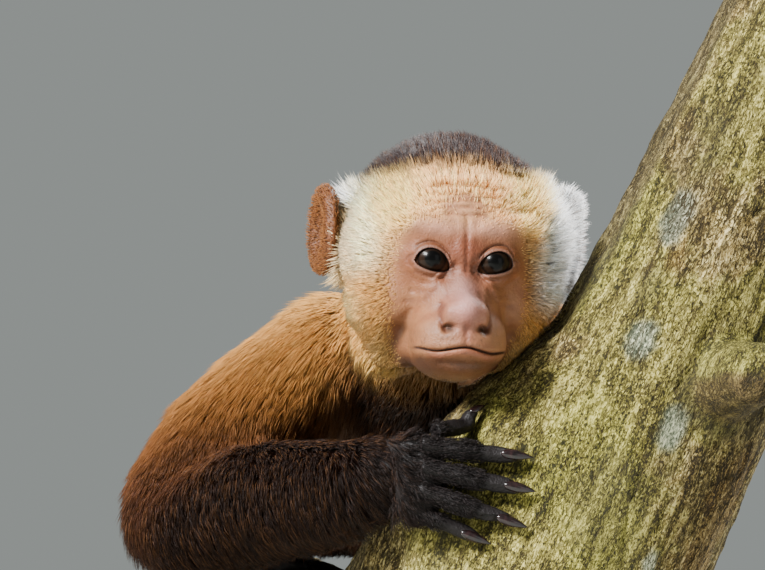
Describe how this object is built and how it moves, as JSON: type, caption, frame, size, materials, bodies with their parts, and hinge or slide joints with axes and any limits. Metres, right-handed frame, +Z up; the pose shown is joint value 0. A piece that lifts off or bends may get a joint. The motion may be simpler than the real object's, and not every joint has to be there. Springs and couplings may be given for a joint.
{
  "type": "capuchin monkey model on a display stand",
  "caption": "Still life-size capuchin monkey crouched on a forked length of tree, hugging the leaning trunk, held up by a flat base and rods.",
  "frame": {"origin": "middle of the underside of the stand's base", "axes": "+Z up, -Y the way the monkey faces, +X towards the monkey's left, where the trunk leans"},
  "size_m": [0.3451, 0.4632, 0.5337],
  "materials": {
    "coat_brown": "orange-brown to brown hair, soft sheen",
    "coat_cream": "cream, white and golden hair with a dark brown cap",
    "coat_dark": "near-black brown hair with a purplish sheen",
    "face_skin": "pink-tan bare skin, fine creases",
    "skin_black": "black pebbled skin, semi-gloss",
    "ear_skin": "brown-pink skin, matt",
    "eye_dark": "wet dark brown eye",
    "bark": "olive-tan cracked bark with moss and lichen",
    "base_wood": "dark stained wood, satin",
    "rod_steel": "brushed"
  },
  "bodies": {
    "root": {"belly": "coat_brown", "big_toe_left": "skin_black", "big_toe_right": "skin_black", "chest": "coat_brown", "ear_left": "ear_skin", "ear_right": "ear_skin", "eye_left": "eye_dark", "eye_right": "eye_dark", "foot_left": "skin_black", "foot_right": "skin_black", "forearm_left": "coat_dark", "forearm_right": "coat_dark", "fourth_toe_left": "skin_black", "fourth_toe_right": "skin_black", "hand_left": "skin_black", "hand_right": "skin_black", "head": "coat_cream", "hips": "coat_brown", "index_finger_left": "skin_black", "index_finger_right": "skin_black", "jaw": "face_skin", "little_finger_left": "skin_black", "little_finger_right": "skin_black", "little_toe_left": "skin_black", "little_toe_right": "skin_black", "middle_finger_left": "skin_black", "middle_finger_right": "skin_black", "neck": "coat_brown", "perch_limb": "bark", "perch_stub": "bark", "perch_trunk": "bark", "ring_finger_left": "skin_black", "ring_finger_right": "skin_black", "second_toe_left": "skin_black", "second_toe_right": "skin_black", "shank_left": "coat_dark", "shank_right": "coat_dark", "stand_base": "base_wood", "stand_rod_front": "rod_steel", "stand_rod_rear": "rod_steel", "tail_curl": "coat_dark", "tail_lower": "coat_dark", "tail_middle": "coat_dark", "tail_root": "coat_dark", "tail_tip": "coat_dark", "tail_upper": "coat_dark", "thigh_left": "coat_brown", "thigh_right": "coat_brown", "third_toe_left": "skin_black", "third_toe_right": "skin_black", "thumb_left": "skin_black", "thumb_right": "skin_black", "upper_arm_left": "coat_brown", "upper_arm_right": "coat_brown"}
  },
  "joints": []
}
